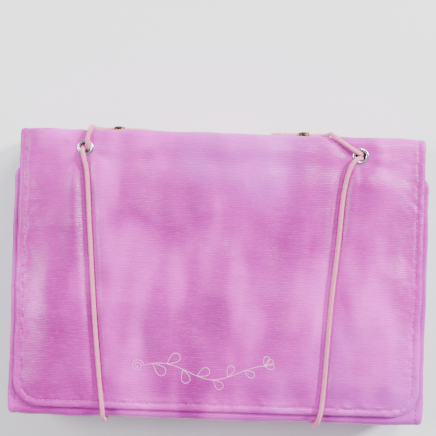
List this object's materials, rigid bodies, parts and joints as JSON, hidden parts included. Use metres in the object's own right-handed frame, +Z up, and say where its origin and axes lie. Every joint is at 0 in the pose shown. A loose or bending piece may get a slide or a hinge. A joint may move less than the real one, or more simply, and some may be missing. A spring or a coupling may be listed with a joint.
{
  "type": "makeup bag",
  "caption": "Folded roll-up makeup bag: satin flap over two hinged panels, zipped mesh pouches inside, held shut by elastic loops through eyelets.",
  "frame": {"origin": "centre of the bag's footprint on the surface it lies on, without its elastic cords", "axes": "+X along the width, to the right as the flap is looked down on; +Y towards the top fold; +Z up out of the flap"},
  "size_m": [0.278, 0.1989, 0.0539],
  "materials": {
    "outer_satin": "orchid pink satin twill",
    "lining": "plum satin lining",
    "pouch_mesh": "sheer lavender mesh",
    "zip_tape": "woven lavender tape",
    "hook_loop": "brushed hook and loop",
    "zip_coil": "black nylon coil",
    "silver": "polished nickel plate",
    "elastic": "pale pink braided elastic",
    "bronze": "dark antique brass"
  },
  "bodies": {
    "back_panel": {"back_panel_outer": "outer_satin", "back_panel_lining": "lining", "back_loop_left": "hook_loop", "back_loop_right": "hook_loop"},
    "top_fold": {"top_fold_outer": "outer_satin", "top_fold_lining": "lining"},
    "flap": {"flap_outer": "outer_satin", "flap_lining": "lining", "eyelet_left": "silver", "eyelet_right": "silver", "eyelet_washer_left": "silver", "eyelet_washer_right": "silver", "elastic_cord_left": "elastic", "elastic_cord_right": "elastic"},
    "bottom_fold": {"bottom_fold_outer": "outer_satin", "bottom_fold_lining": "lining"},
    "front_panel": {"front_panel_outer": "outer_satin", "front_panel_lining": "lining", "front_loop_left": "hook_loop", "front_loop_right": "hook_loop"},
    "cord_toggle_left": {"cord_toggle_left": "bronze"},
    "cord_toggle_right": {"cord_toggle_right": "bronze"},
    "pouch_a": {"pouch_a": "pouch_mesh", "zip_tape_a": "zip_tape", "zip_chain_a": "zip_coil", "tab_a_left": "zip_tape", "tab_a_right": "zip_tape", "hook_a_left": "hook_loop", "hook_a_right": "hook_loop"},
    "zip_slider_a": {"zip_slider_a": "silver"},
    "zip_pull_a": {"zip_pull_a": "silver"},
    "pouch_b": {"pouch_b": "pouch_mesh", "zip_tape_b": "zip_tape", "zip_chain_b": "zip_coil", "tab_b_left": "zip_tape", "tab_b_right": "zip_tape", "hook_b_left": "hook_loop", "hook_b_right": "hook_loop"},
    "zip_slider_b": {"zip_slider_b": "silver"},
    "zip_pull_b": {"zip_pull_b": "silver"},
    "pouch_c": {"pouch_c": "pouch_mesh", "zip_tape_c": "zip_tape", "zip_chain_c": "zip_coil", "tab_c_left": "zip_tape", "tab_c_right": "zip_tape", "hook_c_left": "hook_loop", "hook_c_right": "hook_loop"},
    "zip_slider_c": {"zip_slider_c": "silver"},
    "zip_pull_c": {"zip_pull_c": "silver"},
    "pouch_d": {"pouch_d": "pouch_mesh", "zip_tape_d": "zip_tape", "zip_chain_d": "zip_coil", "tab_d_left": "zip_tape", "tab_d_right": "zip_tape", "hook_d_left": "hook_loop", "hook_d_right": "hook_loop"},
    "zip_slider_d": {"zip_slider_d": "silver"},
    "zip_pull_d": {"zip_pull_d": "silver"}
  },
  "joints": [
    {"name": "top_fold", "type": "hinge", "parent": "back_panel", "child": "top_fold", "pos_m": [0, 0.0945, 0.0057], "axis": [-1, 0, 0], "range_deg": [0, 90], "deforming": ["elastic_cord_left", "elastic_cord_right"]},
    {"name": "flap_fold", "type": "hinge", "parent": "top_fold", "child": "flap", "pos_m": [0, 0.0945, 0.0492], "axis": [-1, 0, 0], "range_deg": [0, 90]},
    {"name": "bottom_fold", "type": "hinge", "parent": "back_panel", "child": "bottom_fold", "pos_m": [0, -0.0945, 0.0057], "axis": [1, 0, 0], "range_deg": [0, 90], "deforming": ["flap_outer", "flap_lining"]},
    {"name": "front_fold", "type": "hinge", "parent": "bottom_fold", "child": "front_panel", "pos_m": [0, -0.0945, 0.0465], "axis": [1, 0, 0], "range_deg": [0, 90]},
    {"name": "pouch_a", "type": "slide", "parent": "back_panel", "child": "pouch_a", "axis": [1, 0, 0], "range_m": [0, 0.28]},
    {"name": "zip_slider_a", "type": "slide", "parent": "pouch_a", "child": "zip_slider_a", "axis": [1, 0, 0], "range_m": [0, 0.22]},
    {"name": "zip_pull_a", "type": "hinge", "parent": "zip_slider_a", "child": "zip_pull_a", "pos_m": [-0.1205, 0.066, 0.027], "axis": [0, 1, 0], "range_deg": [0, 90]},
    {"name": "pouch_b", "type": "slide", "parent": "back_panel", "child": "pouch_b", "axis": [1, 0, 0], "range_m": [0, 0.28]},
    {"name": "zip_slider_b", "type": "slide", "parent": "pouch_b", "child": "zip_slider_b", "axis": [1, 0, 0], "range_m": [0, 0.22]},
    {"name": "zip_pull_b", "type": "hinge", "parent": "zip_slider_b", "child": "zip_pull_b", "pos_m": [-0.1205, -0.022, 0.027], "axis": [0, 1, 0], "range_deg": [0, 90]},
    {"name": "pouch_c", "type": "slide", "parent": "front_panel", "child": "pouch_c", "axis": [1, 0, 0], "range_m": [0, 0.28]},
    {"name": "zip_slider_c", "type": "slide", "parent": "pouch_c", "child": "zip_slider_c", "axis": [1, 0, 0], "range_m": [0, 0.22]},
    {"name": "zip_pull_c", "type": "hinge", "parent": "zip_slider_c", "child": "zip_pull_c", "pos_m": [-0.1205, -0.074, 0.0252], "axis": [0, -1, 0], "range_deg": [0, 90]},
    {"name": "pouch_d", "type": "slide", "parent": "front_panel", "child": "pouch_d", "axis": [1, 0, 0], "range_m": [0, 0.28]},
    {"name": "zip_slider_d", "type": "slide", "parent": "pouch_d", "child": "zip_slider_d", "axis": [1, 0, 0], "range_m": [0, 0.22]},
    {"name": "zip_pull_d", "type": "hinge", "parent": "zip_slider_d", "child": "zip_pull_d", "pos_m": [-0.1205, 0.006, 0.0252], "axis": [0, -1, 0], "range_deg": [0, 90]},
    {"name": "cord_toggle_left", "type": "slide", "parent": "top_fold", "child": "cord_toggle_left", "axis": [1, 0, 0], "range_m": [0, 0.009]},
    {"name": "cord_toggle_right", "type": "slide", "parent": "top_fold", "child": "cord_toggle_right", "axis": [-1, 0, 0], "range_m": [0, 0.009]}
  ],
  "couplings": [
    {"joint": "flap_fold", "follows": "top_fold", "ratio": 1},
    {"joint": "front_fold", "follows": "bottom_fold", "ratio": 1}
  ]
}
